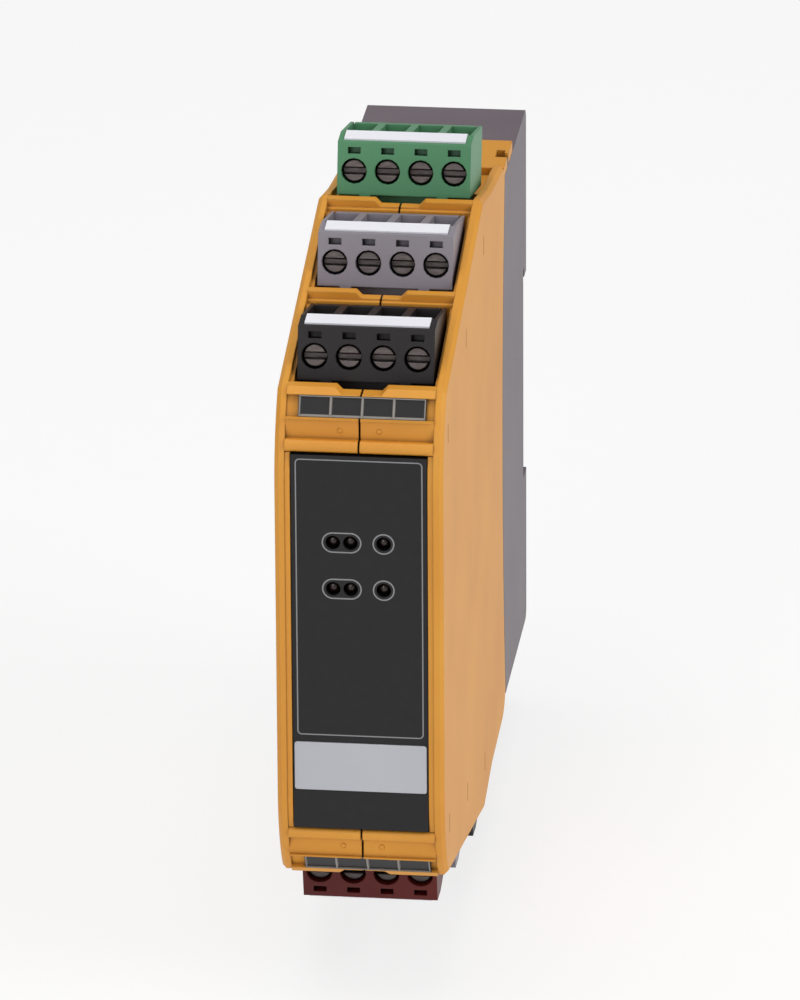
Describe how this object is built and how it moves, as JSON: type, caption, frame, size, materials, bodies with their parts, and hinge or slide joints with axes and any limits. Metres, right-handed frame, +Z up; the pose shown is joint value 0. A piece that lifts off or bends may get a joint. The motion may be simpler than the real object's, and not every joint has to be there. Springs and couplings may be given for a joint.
{
  "type": "safety relay module",
  "caption": "Narrow safety relay module for a top-hat rail, with stepped plug-in screw terminals, a front plate with lamp windows and a sprung rail latch.",
  "frame": {"origin": "middle of the seat face that lies against the mounting rail", "axes": "+X across the module to its right side seen from the front, +Y from the front towards the rail, +Z up"},
  "size_m": [0.025, 0.121, 0.1152],
  "materials": {
    "yellow_shell": "fine satin moulding grain",
    "grey_housing": "fine satin moulding grain",
    "grey_latch": "satin",
    "spring_steel": "bright",
    "black_plate": "glossy printed sheet",
    "label_paper": "blank satin film",
    "white_marker": "satin",
    "marker_laminate": "black cells in pale borders",
    "board_laminate": "solder mask",
    "lamp_lens": "unlit tinted lens",
    "relay_case": "satin",
    "capacitor_sleeve": "sleeved can",
    "chip_resin": "moulded resin",
    "black_plug": "satin",
    "grey_plug": "satin",
    "green_plug": "satin",
    "red_brown_plug": "satin",
    "header_plastic": "satin",
    "tinned_brass": "tinned",
    "clamp_steel": "zinc plated",
    "screw_steel": "zinc plated"
  },
  "bodies": {
    "housing": {"left_shell": "yellow_shell", "right_shell": "yellow_shell", "rear_housing": "grey_housing", "front_plate": "black_plate", "blank_label": "label_paper", "top_marker_plate": "marker_laminate", "bottom_marker_plate": "marker_laminate", "left_board": "board_laminate", "right_board": "board_laminate", "front_board": "board_laminate", "leds": "lamp_lens", "upper_relay": "relay_case", "lower_relay": "relay_case", "capacitors": "capacitor_sleeve", "controller_chips": "chip_resin", "latch_spring": "spring_steel", "top_front_header": "header_plastic", "top_front_pins": "tinned_brass", "top_middle_header": "header_plastic", "top_middle_pins": "tinned_brass", "top_rear_header": "header_plastic", "top_rear_pins": "tinned_brass", "bottom_front_header": "header_plastic", "bottom_front_pins": "tinned_brass", "bottom_middle_header": "header_plastic", "bottom_middle_pins": "tinned_brass", "bottom_rear_header": "header_plastic", "bottom_rear_pins": "tinned_brass"},
    "latch": {"rail_latch": "grey_latch"},
    "top_front_plug_unit": {"top_front_plug": "black_plug", "top_front_cages": "clamp_steel", "top_front_screws": "screw_steel", "top_front_marker": "white_marker"},
    "top_middle_plug_unit": {"top_middle_plug": "grey_plug", "top_middle_cages": "clamp_steel", "top_middle_screws": "screw_steel", "top_middle_marker": "white_marker"},
    "top_rear_plug_unit": {"top_rear_plug": "green_plug", "top_rear_cages": "clamp_steel", "top_rear_screws": "screw_steel", "top_rear_marker": "white_marker"},
    "bottom_front_plug_unit": {"bottom_front_plug": "red_brown_plug", "bottom_front_cages": "clamp_steel", "bottom_front_screws": "screw_steel", "bottom_front_marker": "white_marker"},
    "bottom_middle_plug_unit": {"bottom_middle_plug": "grey_plug", "bottom_middle_cages": "clamp_steel", "bottom_middle_screws": "screw_steel", "bottom_middle_marker": "white_marker"},
    "bottom_rear_plug_unit": {"bottom_rear_plug": "black_plug", "bottom_rear_cages": "clamp_steel", "bottom_rear_screws": "screw_steel", "bottom_rear_marker": "white_marker"}
  },
  "joints": [
    {"name": "top_front_plug_slide", "type": "slide", "parent": "housing", "child": "top_front_plug_unit", "axis": [0, 0.2181, 0.9759], "range_m": [0, 0.012]},
    {"name": "top_middle_plug_slide", "type": "slide", "parent": "housing", "child": "top_middle_plug_unit", "axis": [0, 0.2181, 0.9759], "range_m": [0, 0.012]},
    {"name": "top_rear_plug_slide", "type": "slide", "parent": "housing", "child": "top_rear_plug_unit", "axis": [0, 0.2181, 0.9759], "range_m": [0, 0.012]},
    {"name": "bottom_front_plug_slide", "type": "slide", "parent": "housing", "child": "bottom_front_plug_unit", "axis": [0, 0.2181, -0.9759], "range_m": [0, 0.012]},
    {"name": "bottom_middle_plug_slide", "type": "slide", "parent": "housing", "child": "bottom_middle_plug_unit", "axis": [0, 0.2181, -0.9759], "range_m": [0, 0.012]},
    {"name": "bottom_rear_plug_slide", "type": "slide", "parent": "housing", "child": "bottom_rear_plug_unit", "axis": [0, 0.2181, -0.9759], "range_m": [0, 0.012]},
    {"name": "rail_latch_slide", "type": "slide", "parent": "housing", "child": "latch", "axis": [0, 0, -1], "range_m": [0, 0.004], "stiffness_N_per_m": 300, "springref_m": -0.002, "deforming": ["latch_spring"]}
  ]
}
